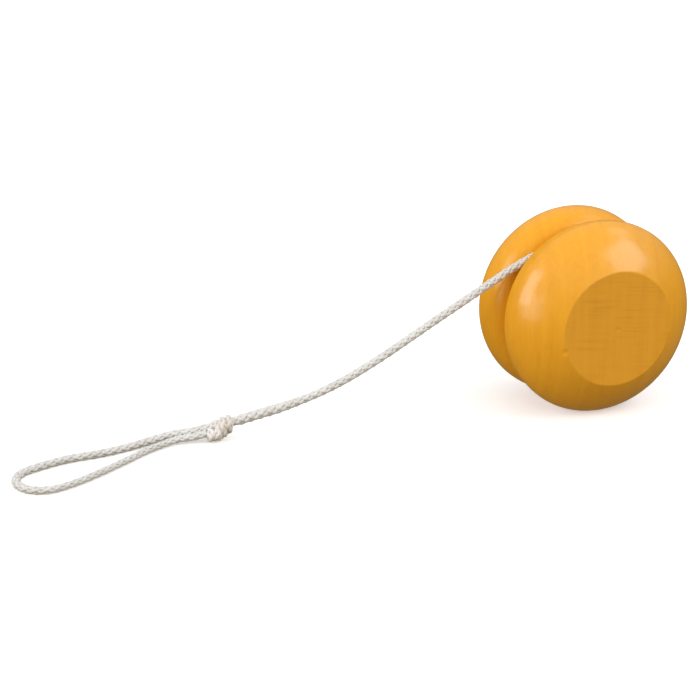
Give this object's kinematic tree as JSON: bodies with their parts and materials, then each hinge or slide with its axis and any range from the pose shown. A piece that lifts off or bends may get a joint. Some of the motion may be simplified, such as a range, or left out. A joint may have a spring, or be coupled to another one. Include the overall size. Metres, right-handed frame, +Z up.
{
  "type": "yo-yo",
  "caption": "Turned wooden yo-yo on a glued dowel axle, its braided string wound in and laid out to a knotted finger loop.",
  "frame": {"origin": "on the floor, under the middle of the yo-yo standing on its two rims", "axes": "+Z up; Y along the axle, with the front half on the -Y side; the string leaves the gap towards -X"},
  "size_m": [0.1752, 0.0384, 0.05],
  "materials": {
    "lacquered_wood": "amber satin lacquer over fine-grained wood",
    "bare_wood": "plain beech dowel",
    "cord": "white braided cord"
  },
  "bodies": {
    "string": {"string_hitch": "cord", "string_winding": "cord", "string_run": "cord", "finger_knot": "cord", "finger_loop": "cord", "string_tail": "cord"},
    "yoyo": {"front_half": "lacquered_wood", "back_half": "lacquered_wood", "axle": "bare_wood"}
  },
  "joints": [
    {"name": "spin", "type": "hinge", "parent": "string", "child": "yoyo", "pos_m": [0, 0, 0.025], "axis": [0, 1, 0], "continuous": true}
  ]
}
